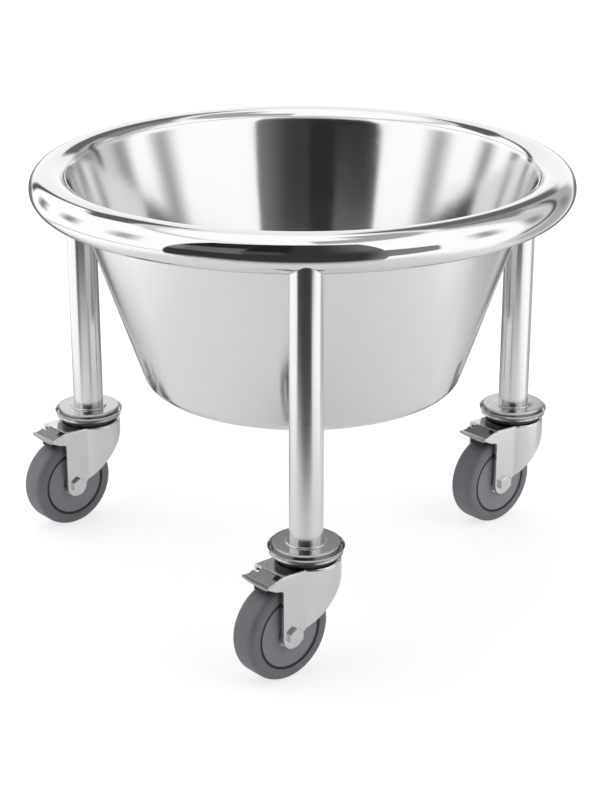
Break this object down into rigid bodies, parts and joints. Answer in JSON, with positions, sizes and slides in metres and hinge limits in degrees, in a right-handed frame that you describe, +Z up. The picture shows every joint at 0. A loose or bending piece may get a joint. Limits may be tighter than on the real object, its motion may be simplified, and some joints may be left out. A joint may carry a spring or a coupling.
{
  "type": "surgical kick bucket",
  "caption": "Low wheeled kick bucket: a tapered stainless bucket that lifts out of a tubular ring on legs with braked swivel casters.",
  "frame": {"origin": "on the bucket's axis, at the level of the floor that the wheels stand on", "axes": "+Z up along the bucket's axis; the front leg stands towards -Y"},
  "size_m": [0.4487, 0.4589, 0.333],
  "materials": {
    "bucket_steel": "spun and satin polished stainless steel",
    "polished_steel": "mirror polished stainless steel",
    "flange_steel": "polished stainless steel",
    "plug_steel": "turned steel",
    "bolt_steel": "bright zinc plated steel",
    "race_steel": "ground steel",
    "ball_steel": "polished bearing steel",
    "seal_plastic": "matte black",
    "plated_steel": "bright zinc plated, pressed steel",
    "pedal_steel": "bright zinc plated, pressed steel",
    "hub_plastic": "grey, fine satin",
    "grey_rubber": "grey, non-marking",
    "shoe_rubber": "matte black"
  },
  "bodies": {
    "frame": {"ring_tube": "polished_steel", "front_leg": "polished_steel", "front_foot_flange": "flange_steel", "front_leg_plug": "plug_steel", "front_kingpin_bolt": "bolt_steel", "front_lower_race": "race_steel", "front_dust_seal": "seal_plastic", "left_leg": "polished_steel", "left_foot_flange": "flange_steel", "left_leg_plug": "plug_steel", "left_kingpin_bolt": "bolt_steel", "left_lower_race": "race_steel", "left_dust_seal": "seal_plastic", "right_leg": "polished_steel", "right_foot_flange": "flange_steel", "right_leg_plug": "plug_steel", "right_kingpin_bolt": "bolt_steel", "right_lower_race": "race_steel", "right_dust_seal": "seal_plastic"},
    "bucket": {"bucket": "bucket_steel"},
    "front_caster": {"front_fork": "plated_steel", "front_upper_balls": "ball_steel", "front_lower_balls": "ball_steel", "front_axle_bolt": "bolt_steel", "front_axle_nut": "bolt_steel", "front_axle_spacers": "race_steel", "front_pedal_pin": "bolt_steel"},
    "front_wheel": {"front_tyre": "grey_rubber", "front_wheel_hub": "hub_plastic", "front_wheel_bearings": "race_steel"},
    "front_pedal": {"front_brake_pedal": "pedal_steel", "front_brake_shoe": "shoe_rubber"},
    "left_caster": {"left_fork": "plated_steel", "left_upper_balls": "ball_steel", "left_lower_balls": "ball_steel", "left_axle_bolt": "bolt_steel", "left_axle_nut": "bolt_steel", "left_axle_spacers": "race_steel", "left_pedal_pin": "bolt_steel"},
    "left_wheel": {"left_tyre": "grey_rubber", "left_wheel_hub": "hub_plastic", "left_wheel_bearings": "race_steel"},
    "left_pedal": {"left_brake_pedal": "pedal_steel", "left_brake_shoe": "shoe_rubber"},
    "right_caster": {"right_fork": "plated_steel", "right_upper_balls": "ball_steel", "right_lower_balls": "ball_steel", "right_axle_bolt": "bolt_steel", "right_axle_nut": "bolt_steel", "right_axle_spacers": "race_steel", "right_pedal_pin": "bolt_steel"},
    "right_wheel": {"right_tyre": "grey_rubber", "right_wheel_hub": "hub_plastic", "right_wheel_bearings": "race_steel"},
    "right_pedal": {"right_brake_pedal": "pedal_steel", "right_brake_shoe": "shoe_rubber"}
  },
  "joints": [
    {"name": "bucket_lift", "type": "slide", "parent": "frame", "child": "bucket", "axis": [0, 0, 1], "range_m": [0, 0.25]},
    {"name": "front_swivel", "type": "hinge", "parent": "frame", "child": "front_caster", "pos_m": [0, -0.199, 0.0873], "axis": [0, 0, 1], "continuous": true},
    {"name": "front_wheel_spin", "type": "hinge", "parent": "front_caster", "child": "front_wheel", "pos_m": [-0.01915, -0.21507, 0.0375], "axis": [0.6428, -0.766, 0], "continuous": true},
    {"name": "front_brake", "type": "hinge", "parent": "front_caster", "child": "front_pedal", "pos_m": [-0.02597, -0.22079, 0.0813], "axis": [0.6428, -0.766, 0], "range_deg": [0, 10]},
    {"name": "left_swivel", "type": "hinge", "parent": "frame", "child": "left_caster", "pos_m": [-0.18249, 0.07935, 0.0873], "axis": [0, 0, 1], "continuous": true},
    {"name": "left_wheel_spin", "type": "hinge", "parent": "left_caster", "child": "left_wheel", "pos_m": [-0.20165, 0.06328, 0.0375], "axis": [0.6428, -0.766, 0], "continuous": true},
    {"name": "left_brake", "type": "hinge", "parent": "left_caster", "child": "left_pedal", "pos_m": [-0.20846, 0.05756, 0.0813], "axis": [0.6428, -0.766, 0], "range_deg": [0, 10]},
    {"name": "right_swivel", "type": "hinge", "parent": "frame", "child": "right_caster", "pos_m": [0.18249, 0.07935, 0.0873], "axis": [0, 0, 1], "continuous": true},
    {"name": "right_wheel_spin", "type": "hinge", "parent": "right_caster", "child": "right_wheel", "pos_m": [0.16334, 0.06328, 0.0375], "axis": [0.6428, -0.766, 0], "continuous": true},
    {"name": "right_brake", "type": "hinge", "parent": "right_caster", "child": "right_pedal", "pos_m": [0.15653, 0.05756, 0.0813], "axis": [0.6428, -0.766, 0], "range_deg": [0, 10]}
  ]
}
